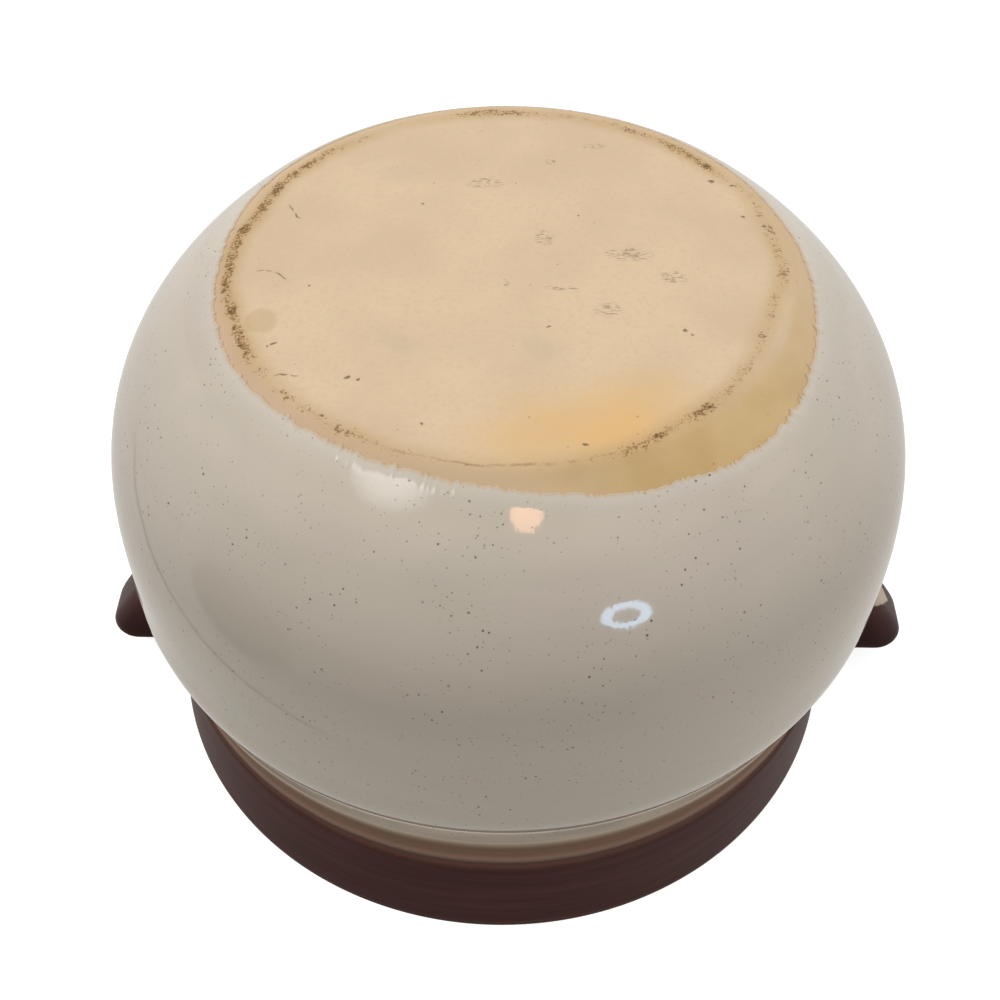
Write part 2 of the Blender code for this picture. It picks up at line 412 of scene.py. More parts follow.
# Noises have a grain per metre.
wander_grain = 60
wander_edges = (0.35, 0.65)
wide_drift = 0.003
small_drift_grain = 300
small_drift = 0.0006
cloud_grain = 45
fleck_grain = 900
sand_grain = 2200
dusty_patches = (
    ((-0.0243, 0.0295), (0.0065, 0.0055)),
    ((-0.0199, -0.0243), (0.01, 0.004), -0.8),
    ((0.0077, -0.0256), (0.0065, 0.005)),
)
dusty_share = 0.8
# Painted warm light: orange patches on the foot's front, near the glaze, where the flat foot catches a warm
# glow.
painted_warm_light_patches = (
    (((0.006, -0.051), (0.02, 0.011), 0.0), 0.63),
    (((0.019, -0.0465), (0.029, 0.017), 0.12), 0.9),
)
oval_stain = ((-0.0474, -0.0192), (0.0044, 0.005))
# The dirt ring goes by the share of a turn from the left: how far out it lies, from 0 at 53 mm from the
# foot's middle to 1 at 58 mm, and how much dirt it holds.
ring_drift_grain = 110
ring_drift = 0.0012
dirt_width = (0.0028, 0.0003)
clump_grain = 330
grit_gain = 0.25
dirt_line_width = (0.00038, 0.00008)
dirt_ring_base = 0.053
dirt_ring_span = 0.005
dirt_ring_places = (
    (0.0, 0.66), (0.042, 0.7), (0.056, 0.62), (0.097, 0.68), (0.139, 0.7), (0.194, 0.74), (0.25, 0.74),
    (0.306, 0.78), (0.328, 0.74), (0.34, 0.6), (0.361, 0.56), (0.389, 0.5), (0.417, 0.4), (0.436, 0.12),
    (0.467, 0.3), (0.486, 0.5), (0.5, 0.54), (0.542, 0.5), (0.57, 0.72), (0.611, 0.44), (0.667, 0.48),
    (0.75, 0.32), (0.889, 0.48), (0.92, 0.56), (0.955, 0.42), (1.0, 0.66),
)
dirt_ring_amounts = (
    (0.0, 0.95), (0.042, 0.95), (0.083, 0.85), (0.111, 0.55), (0.139, 0.55), (0.175, 0.65), (0.2, 0.5),
    (0.256, 0.3), (0.283, 0.55), (0.311, 0.7), (0.333, 0.7), (0.361, 0.82), (0.378, 0.8), (0.403, 0.6),
    (0.444, 0.6), (0.467, 0.65), (0.486, 0.75), (0.514, 0.7), (0.542, 0.6), (0.567, 0.6), (0.589, 0.6),
    (0.606, 0.9), (0.633, 0.95), (0.65, 0.75), (0.683, 0.65), (0.722, 0.55), (0.767, 0.9), (0.789, 0.6),
    (0.833, 0.4), (0.867, 0.7), (0.903, 0.9), (1.0, 0.95),
)
dirt_line_amounts = (
    (0.0, 0.3), (0.15, 0.2), (0.2, 0.5), (0.27, 1.0), (0.33, 0.9), (0.36, 0.7), (0.4, 0.6),
    (0.43, 0.0),
)
# The golden shoulder starts outside the dirt, from 0 at 55 mm to 1 at 60 mm.
shoulder_base = 0.055
shoulder_span = 0.005
shoulder_edges = (-0.0012, 0.0016)
shoulder_left_turns = (0.28, 0.1)
shoulder_places = (
    (0.0, 0.4), (0.24, 0.36), (0.3, 0.42), (0.35, 0.44), (0.39, 0.52), (0.45, 0.62), (0.5, 0.54),
    (0.56, 0.42), (1.0, 0.4),
)
shoulder_gold_amounts = (
    (0.0, 0.05), (0.19, 0.05), (0.25, 0.25), (0.31, 0.85), (0.36, 1.0), (0.4, 0.9), (0.43, 0.6),
    (0.48, 0.35), (0.56, 0.25), (0.7, 0.4), (0.9, 0.15), (1.0, 0.05),
)
# Marks on the foot, in metres from its middle: scuffs and pits with their sizes, cracks and scratches
scuff_core = 0.6
pit_core = 0.3
hairline_run_out = 1.2
stroke_grain = 2100
scratch_width = 0.00025
scratch_share = 0.3
crack_width = 0.00024
mark_share = 0.85
mark_depth = 2.0
spot_least = 0.4
spot_core = 0.35
fine_specks = (0.0034, 0.00024, 0.5)
fine_speck_share = 0.5
scuffs = (
    ((-0.0051, 0.0269), (0.0051, 0.0019)), ((0.025, 0.0028), (0.0058, 0.0029)),
    ((0.0336, -0.0045), (0.0035, 0.0026)), ((0.0077, 0.0079), (0.0026, 0.0029)),
    ((0.0199, -0.0147), (0.003, 0.0025)), ((0.0186, 0.0416), (0.0032, 0.001)),
    ((0.009, 0.0352), (0.0013, 0.0013)), ((0.0, -0.007), (0.0008, 0.0019)),
    ((0.0109, -0.0083), (0.0045, 0.0008)),
)
pits = (
    ((-0.0292, -0.035), 0.0007), ((-0.0269, -0.0358), 0.0006), ((-0.0186, 0.0195), 0.0005),
    ((0.0439, 0.0282), 0.0009), ((0.048, 0.0269), 0.0005), ((0.0493, 0.0156), 0.0005),
    ((0.0538, 0.0124), 0.0006), ((0.0151, 0.0158), 0.0004), ((0.0081, -0.0199), 0.0005),
    ((0.0346, -0.0205), 0.0006), ((0.0356, -0.0215), 0.0004), ((0.015, -0.0519), 0.0006),
    ((0.0519, -0.0256), 0.0005), ((-0.0394, -0.0081), 0.0004), ((-0.0442, -0.0256), 0.0006),
    ((-0.0449, -0.0263), 0.0004), ((-0.0327, -0.0452), 0.0005), ((-0.015, -0.0464), 0.0005),
)
cracks = (
    ((-0.0465, 0.0184), (-0.0455, 0.016)), ((-0.0455, 0.016), (-0.0432, 0.0133)),
    ((-0.051, -0.004), (-0.0489, -0.0037)), ((-0.0489, -0.0037), (-0.0467, -0.0042)),
    ((-0.0467, -0.0042), (-0.0442, -0.0067)), ((-0.0429, -0.0348), (-0.0397, -0.0346)),
    ((-0.0397, -0.0346), (-0.0378, -0.0348)),
)
faint_scratches = (((-0.0122, 0.0416), (-0.0077, 0.0314)), ((0.0397, 0.0013), (0.0455, -0.0179)))


def softened(corners):
    """An outline through (radius, height, round) corners, each rounded by an arc of its own radius."""
    points = []
    for index, (radius, height, arc_radius) in enumerate(corners):
        here = Vector((radius, height))
        if arc_radius == 0:
            points.append(here)
            continue
        back = (Vector(corners[index - 1][:2]) - here).normalized()
        ahead = (Vector(corners[index + 1][:2]) - here).normalized()
        half_angle = back.angle(ahead) / 2
        centre = here + (back + ahead).normalized() * arc_radius / math.sin(half_angle)
        start = here + back * arc_radius / math.tan(half_angle) - centre
        sweep = start.angle_signed(here + ahead * arc_radius / math.tan(half_angle) - centre)
        for step in range(round_steps + 1):
            spoke = start.copy()
            spoke.rotate(Matrix.Rotation(-sweep * step / round_steps, 2))
            points.append(centre + spoke)
    return points


def moved_out(line, distance):
    """The outline moved sideways: outwards from the clay on a line that runs down its outer side."""
    moved = []
    for index, point in enumerate(line):
        back = line[max(index - 1, 0)]
        ahead = line[min(index + 1, len(line) - 1)]
        before = (point - back) if index > 0 else (ahead - point)
        after = (ahead - point) if index < len(line) - 1 else (point - back)
        before.normalize()
        after.normalize()
        normal = Vector((-before.y - after.y, before.x + after.x)).normalized()
        moved.append(point + normal * distance)
    return moved


def belly_line():
    """The belly's outer curve, from the foot's edge down to the crease where it meets the neck."""
    line = []
    for step in range(belly_upper_steps + 1):
        share = 1 - step / belly_upper_steps
        radius = belly_radius - (belly_radius - foot_radius) * share**belly_upper_power
        line.append(Vector((radius, belly_upper_height + (pot_height - belly_upper_height) * share)))
    for step in range(belly_lower_steps + 1):
        share = step / belly_lower_steps
        radius = belly_radius - (belly_radius - neck_radius) * share**belly_lower_power
        line.append(Vector((radius, belly_lower_height - (belly_lower_height - neck_height) * share)))
    return line


def outer_line():
    """The clay's outer outline, from the middle of the foot down to the middle of the lip."""
    belly = belly_line()
    foot = softened([(0, pot_height, 0), (foot_radius, pot_height, foot_edge_round), (*belly[1], 0)])
    neck_and_collar = softened(
        [
            (*belly[-2], 0),
            (neck_radius, neck_height, 0),
            cove,
            bead,
            groove,
            (collar_radius, collar_height, collar_edge_round),
            (rim_radius, 0, lip_round),
            (rim_radius - lip_thickness / 2, 0, 0),
        ]
    )
    return foot + belly[2:-2] + neck_and_collar


def inner_line():
    """The clay's inner outline, from the middle of the floor down to the middle of the lip."""
    floor_height = pot_height - floor_thickness
    wall = [
        point
        for point in moved_out(belly_line(), -wall_thickness)
        if throat[1] + throat[2] < point.y < floor_height
    ]
    corner = Vector((wall[0].x, floor_height))
    wall = [point for point in wall if (point - corner).length > floor_corner_round]
    floor = softened([(0, floor_height, 0), (*corner, floor_corner_round), (*wall[0], 0)])
    lip = (rim_radius - lip_thickness, 0, lip_round)
    neck = softened([(*wall[-1], 0), throat, shelf, lip, (rim_radius - lip_thickness / 2, 0, 0)])
    return floor + wall[1:-1] + neck


def spun(outline, steps, closed=False):
    """The outline turned about the Z axis: one wedge is spun, doubled until it is whole, and welded."""
    shape = bmesh.new()
    points = [shape.verts.new((radius, 0, height)) for radius, height in outline]
    pairs = list(zip(points, points[1:]))
    if closed:
        pairs.append((points[-1], points[0]))
    edges = [shape.edges.new(pair) for pair in pairs]
    wedges = 2**wedge_doublings
    span = math.tau / wedges
    wedge = points + edges
    bmesh.ops.spin(shape, geom=wedge, axis=(0, 0, 1), cent=(0, 0, 0), angle=span, steps=steps // wedges)
    for doubling in range(wedge_doublings):
        copied = bmesh.ops.duplicate(shape, geom=shape.verts[:] + shape.edges[:] + shape.faces[:])["geom"]
        moved = [thing for thing in copied if isinstance(thing, bmesh.types.BMVert)]
        bmesh.ops.rotate(shape, verts=moved, matrix=Matrix.Rotation(span, 3, "Z"))
        span *= 2
    bmesh.ops.remove_doubles(shape, verts=shape.verts, dist=weld_distance)
    bmesh.ops.recalc_face_normals(shape, faces=shape.faces)
    return shape


def leant(shape):
    """The shape leant a little at each height, like the pot."""
    for vert in shape.verts:
        height = vert.co.z
        vert.co.x += float(np.interp(height, lean_heights, lean_right))
        vert.co.y += float(np.interp(height, lean_heights, lean_back))
    return shape


def finished(name, shape, surface, node):
    """The piece made of a shape: smooth, in its material, and in its CAD node's place."""
    piece = set_down(name, shape, surface)
    piece.data.shade_smooth()
    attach(piece, "root")
    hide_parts(node)


def mottle(place, scale, detail=3.0, stretch=(1, 1, 1), roughness=0.5):
    """Noise from 0 to 1, of a grain per metre, that may be drawn out along an axis."""
    moved = add_node(place, "Mapping", {"Vector": place, "Scale": stretch}).outputs[0]
    values = {"Vector": moved, "Scale": scale, "Detail": detail, "Roughness": roughness}
    return add_node(place, "TexNoise", values).outputs["Fac"]


def spots(place, spacing, size, share, shift=(0, 0, 0)):
    """Round spots of about a size: at most one in each cell of the spacing, in a share of the cells."""
    moved = add_node(place, "Mapping", {"Vector": place, "Location": shift}).outputs[0]
    cells = add_node(place, "TexVoronoi", {"Vector": moved, "Scale": 1 / spacing, "Randomness": 1})
    chance = add_node(place, "SeparateColor", {"Color": cells.outputs["Color"]}).outputs
    there = rising(chance["Red"], share + 0.001, share)
    widest = size / spacing
    reach = scaled(chance["Green"], widest, widest * spot_least)
    near = reckoned("DIVIDE", cells.outputs["Distance"], reach)
    return reckoned("MULTIPLY", there, rising(near, 1.0, spot_core))


def around_and_out(place):
    """The distance from the pot's axis, and the share of a turn about it from the left."""
    parts = add_node(place, "SeparateXYZ", {"Vector": place}).outputs
    flat = add_node(place, "CombineXYZ", {"X": parts["X"], "Y": parts["Y"]}).outputs[0]
    out = add_node(place, "VectorMath", {0: flat}, operation="LENGTH").outputs["Value"]
    angle = reckoned("ARCTAN2", parts["Y"], parts["X"])
    return out, scaled(angle, 1 / math.tau, 0.5)


def patch(place, centre, size, turn=0.0, soft_from=0.2):
    """A soft oval patch on the foot, 1 at its centre and 0 at its edge."""
    values = {
        "Vector": place,
        "Location": (*centre, pot_height),
        "Rotation": (0, 0, turn),
        "Scale": (*size, 1),
    }
    moved = add_node(place, "Mapping", values, vector_type="TEXTURE").outputs[0]
    away = add_node(place, "VectorMath", {0: moved}, operation="LENGTH").outputs["Value"]
    return rising(away, 1.0, soft_from)


def pit(place, centre, size):
    """A small round hole in the foot, as a share: 1 at its centre and 0 at its edge."""
    values = {0: place, 1: (*centre, pot_height)}
    away = add_node(place, "VectorMath", values, operation="DISTANCE").outputs["Value"]
    return rising(away, size, size * pit_core)


def hairline(place, start, end, width):
    """A thin line between two points of the foot."""
    run = Vector(end) - Vector(start)
    middle = (Vector(end) + Vector(start)) / 2
    size = (run.length / 2 * hairline_run_out, width)
    return patch(place, middle, size, math.atan2(run.y, run.x))


def most(shares):
    """The largest of several shares."""
    largest = shares[0]
    for share in shares[1:]:
        largest = reckoned("MAXIMUM", largest, share)
    return largest


def part_of(*shares):
    """Several shares multiplied together."""
    product = shares[0]
    for share in shares[1:]:
        product = reckoned("MULTIPLY", product, share)
    return product


def tinted(colour, tint, *shares):
    """A tint laid over a colour by several shares multiplied together."""
    return laid_over(part_of(*shares), colour, tint)


def layered(colour, layer, mark, *shares):
    """A layer laid over a colour: its tint, where the mark starts to show and is full, and its strength."""
    tint, start, full, strength = layer
    return tinted(colour, tint, rising(mark, start, full), *shares, strength)


def wavered(place, scale, distance):
    """The place moved about sideways by noise, up to a distance, so that marks get uneven outlines."""
    moved = []
    for shift in (0.0, 3.7):
        there = add_node(place, "Mapping", {"Vector": place, "Location": (shift, shift, 0)}).outputs[0]
        moved.append(scaled(mottle(there, scale), 4 * distance, -2 * distance))
    shaken = add_node(place, "CombineXYZ", {"X": moved[0], "Y": moved[1], "Z": 0.0}).outputs[0]
    return add_node(place, "VectorMath", {0: place, 1: shaken}, operation="ADD").outputs[0]


def surface_material(name):
    material = bpy.data.materials.new(name)
    material.use_nodes = True
    place = add_node(material.node_tree, "TexCoord").outputs["Object"]
    return material, material.node_tree.nodes["Principled BSDF"], place


def surfaced(shader, colour, gloss, height, relief):
    """The colour, the gloss and the raised grain, set on the shader."""
    links = shader.id_data.links
    links.new(colour, shader.inputs["Base Color"])
    for name, value in gloss.items():
        shader.inputs[name].default_value = value
    bump = add_node(height, "Bump", {"Height": height, **relief})
    links.new(bump.outputs["Normal"], shader.inputs["Normal"])


def bare_clay():
    """Fired buff clay: sandy and matt, with kitchen dirt round its foot and painted warm light in front."""
    material, shader, place = surface_material("bare_clay")
    out, turn = around_and_out(place)
    wander = mottle(place, wander_grain, 4)
    wide = wavered(place, wander_grain, wide_drift)
    small = wavered(place, small_drift_grain, small_drift)

    clouds = rising(mottle(place, cloud_grain), *wander_edges)
    colour = laid_over(clouds, clay_deep, clay_pale)
    colour = layered(colour, clay_flecks, mottle(place, fleck_grain, 2))
    dusty = most([patch(wide, *spot) for spot in dusty_patches])
    colour = tinted(colour, dust_colour, dusty, wander, dusty_share)
    # The orange patches are painted warm light on the foot's front, laid over the clay's colour.
    painted_warm_lights = [part_of(patch(wide, *spot, 0.0), share) for spot, share in painted_warm_light_patches]
    colour = laid_over(most(painted_warm_lights), colour, painted_warm_light_colour)
    colour = layered(colour, oval_layer, patch(small, *oval_stain))

    drift = scaled(mottle(place, ring_drift_grain, 4), 2 * ring_drift, -ring_drift)
    drifted = reckoned("ADD", out, drift)
    ring = scaled(amount_by(turn, dirt_ring_places), dirt_ring_span, dirt_ring_base)
    off = reckoned("ABSOLUTE", reckoned("SUBTRACT", drifted, ring))
    golden = laid_over(rising(wander, *wander_edges), golden_deep, golden_pale)
    plain = laid_over(rising(turn, *shoulder_left_turns), clay_deep, shoulder_left_colour)
    flank = laid_over(amount_by(turn, shoulder_gold_amounts), plain, golden)
    shoulder = scaled(amount_by(turn, shoulder_places), shoulder_span, shoulder_base)
    past = reckoned("SUBTRACT", drifted, shoulder)
    colour = laid_over(rising(past, *shoulder_edges), colour, flank)

    amount = amount_by(turn, dirt_ring_amounts)
    need = part_of(rising(off, *dirt_width), amount)
    clumps = mottle(place, clump_grain, 5, roughness=0.7)
    crumbs = mottle(place, sand_grain, roughness=0.6)
    grit = scaled(need, grit_gain, scaled(clumps, 0.5, part_of(crumbs, 0.5)))
    line = part_of(rising(off, *dirt_line_width), amount_by(turn, dirt_line_amounts))
    colour = layered(colour, haze, off, amount)
    colour = layered(colour, dirt_line, clumps, line)
    colour = layered(colour, dirt, grit)
    colour = layered(colour, crust, grit)

    scuffed = most([patch(small, spot, size, 0.0, scuff_core) for spot, size in scuffs])
    strokes = mottle(place, stroke_grain, stretch=(0.3, 1, 1), roughness=0.7)
    colour = layered(colour, scuffing, strokes, scuffed)
    scratched = most([hairline(small, *ends, scratch_width) for ends in faint_scratches])
    colour = tinted(colour, dust_colour, scratched, scratch_share)
    pitted = most([pit(small, spot, size) for spot, size in pits])
    cracked = most([hairline(small, *ends, crack_width) for ends in cracks])
    marks = reckoned("MAXIMUM", pitted, cracked)
    colour = tinted(colour, mark_colour, marks, mark_share)
    colour = tinted(colour, mark_colour, spots(place, *fine_specks), fine_speck_share)

    height = reckoned("SUBTRACT", mottle(place, sand_grain), part_of(marks, mark_depth))
    surfaced(shader, colour, clay_gloss, height, clay_relief)
    return material


body_outline = outer_line()[:-1] + inner_line()[::-1]
finished("clay_body", leant(spun(body_outline, body_turn_steps)), bare_clay(), "pot_body")

# Cream glaze
# One dip in the bath, rim first, coats the pot from its collar to a tilted, ragged line near the foot. The
# glassy coat is thin at that line, 0.7 mm thick on the belly, and sinks into the crease over the neck.
glaze_thickness = 0.0007
glaze_sunk = 0.0001
edge_thickness = 0.00028
edge_round = 0.00018
edge_ramp = 0.0034
edge_steps = 15
coat_belly_steps = 26
coat_neck_steps = 6
coat_inside_steps = 7
coat_turn_steps = 1344
cream_end_height = 0.035
crease_depth = 0.00026
crease_width = 0.00028
crease_margin = 0.0009
crease_places = (-0.0009, -0.0006, -0.0004, -0.0002, 0, 0.0002, 0.0004, 0.0006, 0.0009)
crease_end_azimuths = (-146, -38)
crease_fade = 14
sleeve_radius = 0.05
# How far down the clay from the middle of the foot the glaze stops, by the turn about the axis in degrees
dip_line_places = (
    (-180, 0.0588), (-165, 0.0597), (-150, 0.0602), (-135, 0.0596), (-120, 0.0595), (-105, 0.0597),
    (-95, 0.0605), (-85, 0.0616), (-75, 0.0636), (-65, 0.0651), (-60, 0.0656), (-50, 0.0672),
    (-40, 0.0677), (-30, 0.0672), (-20, 0.0655), (-10, 0.0638), (0, 0.063), (10, 0.0622), (20, 0.061),
    (30, 0.0612), (45, 0.0614), (148, 0.0614), (158, 0.0604), (168, 0.0592), (180, 0.0588),
)
dip_line_waves = ((9, 0.00016), (26, 0.00014))
tooth_count = 170
tooth_height = 0.002
tooth_ragged_azimuth = -30
tooth_ragged_spread = 65
tooth_smooth_share = 0.6
tooth_top = 0.75
tooth_waves = 14
reach_waves = 55

# The cream's colours by height, from 0 at 40 mm to 1 at the foot. On the neck under the belly, up to about
# 50 mm, the stops are painted far lighter as painted light from below.
cream_heights = (0.04, 0.126)
cream_stops = (
    (0.0, (0.84, 0.715, 0.565)),
    (0.035, (0.82, 0.7, 0.555)),
    (0.046, (0.52, 0.45, 0.363)),
    (0.3, (0.503, 0.442, 0.364)),
    (0.45, (0.495, 0.434, 0.357)),
    (0.56, (0.449, 0.394, 0.328)),
    (0.64, (0.43, 0.378, 0.316)),
    (0.72, (0.452, 0.398, 0.332)),
    (0.82, (0.503, 0.44, 0.364)),
    (0.94, (0.534, 0.466, 0.384)),
    (1.0, (0.574, 0.495, 0.395)),
)
cream_clouds = ((0.43, 0.385, 0.312), 0.42, 0.62, 0.25)
cream_pink = ((0.495, 0.415, 0.355), 0.5, 0.66, 0.35)
cream_green = ((0.445, 0.422, 0.35), 0.48, 0.34, 0.35)
cream_bands = ((0.43, 0.385, 0.312), 0.35, 0.75, 0.2)
cream_thin = ((0.51, 0.475, 0.42), 0.0055, 0.0012, 0.35)
cream_edge = ((0.5, 0.37, 0.23), 0.0011, 0.0001, 0.8)
crease_shade = ((0.15, 0.125, 0.1), 0.3, 1.0, 0.75)
faint_speck_colour = (0.17, 0.125, 0.085)
dark_speck_colour = (0.05, 0.038, 0.03)
cream_gloss = {"Roughness": 0.06, "IOR": 1.5}
cream_relief = {"Strength": 0.14, "Distance": 0.0006}
cream_grains = {"clouds": 28, "bands": 260, "tints": 34, "clusters": 70, "swell": 120}
cluster_edges = (0.36, 0.6)
cluster_gain = 0.75
cluster_least = 0.12
faint_specks = (0.0012, 0.00021, 0.9)
faint_speck_share = 0.7
dark_specks = (0.0018, 0.00026, 0.9)

# The clay's outer outline with its lengths and its directions outwards, which the coats are laid on
clay_line = np.array([tuple(point) for point in outer_line()])
clay_lengths = np.concatenate([[0], np.cumsum(np.hypot(*np.diff(clay_line, axis=0).T))])
clay_normals = np.array([tuple(point) for point in moved_out(outer_line(), 1)]) - clay_line


def on_pot(along, out, azimuth):
    """The point a length down the clay's outer side, and a thickness out of it, at one azimuth."""
    radius = np.interp(along, clay_lengths, clay_line[:, 0])
    height = np.interp(along, clay_lengths, clay_line[:, 1])
    normal_out = np.interp(along, clay_lengths, clay_normals[:, 0])
    normal_up = np.interp(along, clay_lengths, clay_normals[:, 1])
    radius += normal_out * out
    return Vector((radius * math.cos(azimuth), radius * math.sin(azimuth), height + normal_up * out))


def length_at_height(height):
    """How far down the clay's outer side a height below the belly's widest line is."""
    return float(np.interp(-height, -clay_line[:, 1], clay_lengths))


def dip_line(azimuth):
    """Where the cream coat stops at one azimuth: the tilted line of the bath, with small teeth and runs."""
    turns, lengths = zip(*dip_line_places)
    degrees = math.degrees(azimuth)
    along = float(np.interp(degrees, turns, lengths))
    spoke = Vector((math.cos(azimuth), math.sin(azimuth), 0))
    for waves, depth in dip_line_waves:
        along += depth * noise.noise(spoke * waves) * 2
    away = abs((degrees - tooth_ragged_azimuth + 180) % 360 - 180)
    ragged = max(tooth_smooth_share, 1 - away / tooth_ragged_spread)
    phase = tooth_count * azimuth / math.tau + 3 * noise.noise(spoke * tooth_waves)
    tooth = phase % 1
    reach = 0.55 + 0.9 * noise.noise(spoke * reach_waves + Vector((0, 0, 5)))
    along -= tooth_height * ragged * reach * (tooth if tooth < tooth_top else 3 * (1 - tooth))
    return along


def crease_share(azimuth):
    """How deep the crease over the neck is at one azimuth: 1 in front, fading out at both sides."""
    first, last = crease_end_azimuths
    degrees = math.degrees(azimuth)
    return min(1, max(0, min(degrees - first, last - degrees) / crease_fade))


def cream_sleeve():
    """The coat before it is laid on: a straight sleeve, where height is length down the clay."""
    start = min(length for turn, length in dip_line_places)
    crease = length_at_height(neck_height) - start
    end = length_at_height(cream_end_height) - start
    outside = []
    for step in range(edge_steps + 1):
        depth = edge_ramp * (step / edge_steps) ** 2
        lip = math.sqrt(1 - max(0, 1 - depth / edge_round) ** 2)
        filled = 1 - (1 - depth / edge_ramp) ** 2
        thickness = edge_thickness * lip + (glaze_thickness - edge_thickness) * filled
        outside.append((depth, thickness - glaze_sunk * (1 - lip)))
    belly_end = crease - crease_margin
    for step in range(1, coat_belly_steps):
        share = step / coat_belly_steps
        outside.append((edge_ramp + (belly_end - edge_ramp) * share, glaze_thickness))
    for offset in crease_places:
        outside.append((crease + offset, glaze_thickness))
    neck_start = crease + crease_margin
    for step in range(1, coat_neck_steps + 1):
        share = step / coat_neck_steps
        outside.append((neck_start + (end - neck_start) * share, glaze_thickness))
    inside = [(end * step / coat_inside_steps, -glaze_sunk) for step in range(coat_inside_steps, 0, -1)]
    return [(sleeve_radius + thickness, -depth) for depth, thickness in outside + inside], start, crease


def cream_coat():
    """The sleeve laid on the pot. Each corner keeps how far below the dip line it lies, for the colours."""
    section, start, crease = cream_sleeve()
    shape = spun(section, coat_turn_steps, closed=True)
    below_line = shape.verts.layers.float.new("below_dip_line")
    in_crease = shape.verts.layers.float.new("in_crease")
    for vert in shape.verts:
        azimuth = math.atan2(vert.co.y, vert.co.x)
        out = math.hypot(vert.co.x, vert.co.y) - sleeve_radius
        depth = -vert.co.z
        moved = (dip_line(azimuth) - start) * max(0.0, 1 - depth / crease) ** 1.5
        dip = math.exp(-(((depth - crease) / crease_width) ** 2)) * crease_share(azimuth)
        vert[below_line] = depth
        vert[in_crease] = dip
        if out > 0:
            out -= crease_depth * dip
        vert.co = on_pot(start + depth + moved, out, azimuth)
    bmesh.ops.recalc_face_normals(shape, faces=shape.faces)
    return shape


def cream_glaze():
    """Glossy cream glaze over iron-speckled clay, paler where it is thin at the dip line."""
    material, shader, place = surface_material("cream_glaze_finish")
    height = add_node(place, "SeparateXYZ", {"Vector": place}).outputs["Z"]
    below = add_node(place, "Attribute", attribute_name="below_dip_line").outputs["Fac"]
    in_crease = add_node(place, "Attribute", attribute_name="in_crease").outputs["Fac"]
    clouds = mottle(place, cream_grains["clouds"])
    bands = mottle(place, cream_grains["bands"], stretch=(0.04, 0.04, 1))
    tints = mottle(place, cream_grains["tints"], 2, stretch=(0.6, 0.6, 1.8))
    # The first stops paint the cream on the neck, under the belly, far lighter: painted light from below.
    colour = colour_by(rising(height, *cream_heights), cream_stops)
    for layer, mark in (
        (cream_clouds, clouds),
        (cream_pink, tints),
        (cream_green, tints),
        (cream_bands, bands),
        (cream_thin, below),
        (cream_edge, below),
    ):
        colour = layered(colour, layer, mark)
    clusters = rising(mottle(place, cream_grains["clusters"], 2), *cluster_edges)
    clustered = scaled(clusters, cluster_gain, cluster_least)
    faint = spots(place, *faint_specks)
    dark = spots(place, *dark_specks, shift=(0.4, 0.1, 0.7))
    colour = tinted(colour, faint_speck_colour, faint, clustered, faint_speck_share)
    colour = tinted(colour, dark_speck_colour, dark, clustered)
    colour = layered(colour, crease_shade, in_crease)
    swell = scaled(bands, 0.4, part_of(mottle(place, cream_grains["swell"], 2), 0.5))
    surfaced(shader, colour, cream_gloss, swell, cream_relief)
    return material


finished("cream_coat", leant(cream_coat()), cream_glaze(), "cream_glaze")

# Brown collar glaze
# A second dip, rim first, lays an iron brown coat over the lower half of the neck, the bead, the groove
# and the collar. It is thin and tan on the rings, dark in the hollows, and stops clear of the lip's face.
# The pale bands on the bead and over the neck are partly painted light, and the thin dark line under the
# bead is partly painted shade.
collar_top_height = 0.0424
collar_full_height = 0.0404
collar_end_height = 0.001
collar_end_ramp = 0.0006
collar_edge_drop = 0.0012
collar_thickness = 0.00082
collar_turn_steps = 384
collar_upper_steps = 56
collar_lower_steps = 16
brown_dark = (0.05, 0.0188, 0.0158)
brown_light = (0.07, 0.0275, 0.023)
brown_red = ((0.069, 0.0205, 0.0198), 0.45, 0.75, 0.4)
brown_gloss = {"Roughness": 0.42, "Specular IOR Level": 0.04}
brown_relief = {"Strength": 0.18, "Distance": 0.0005}
streak_grain = 420
streak_edges = (0.35, 0.7)
brown_cloud_grain = 60
# The rings' colours by height, from 0 at the low end to 1 at the high end. The pale stops on the bead and
# over the neck are partly painted light, and the dark stop at 0.212, under the bead, is partly painted
# shade.
ring_edges = (0.02, 0.06)
ring_waver = 0.0004
ring_low_height = 0.024
ring_high_height = 0.043
ring_stops = (
    (0.0, (0.058, 0.0225, 0.0185)),
    (0.05, (0.062, 0.025, 0.02)),
    (0.068, (0.068, 0.029, 0.0235)),
    (0.09, (0.08, 0.037, 0.029)),
    (0.116, (0.112, 0.052, 0.04)),
    (0.174, (0.125, 0.059, 0.044)),
    (0.2, (0.11, 0.052, 0.0395)),
    (0.212, (0.076, 0.036, 0.028)),
    (0.24, (0.116, 0.06, 0.046)),
    (0.279, (0.19, 0.108, 0.077)),
    (0.316, (0.258, 0.156, 0.113)),
    (0.347, (0.245, 0.149, 0.105)),
    (0.395, (0.195, 0.114, 0.073)),
    (0.58, (0.192, 0.112, 0.069)),
    (0.684, (0.25, 0.164, 0.11)),
    (0.76, (0.345, 0.25, 0.175)),
    (0.83, (0.45, 0.358, 0.262)),
    (0.9, (0.54, 0.445, 0.338)),
    (1.0, (0.62, 0.54, 0.425)),
)


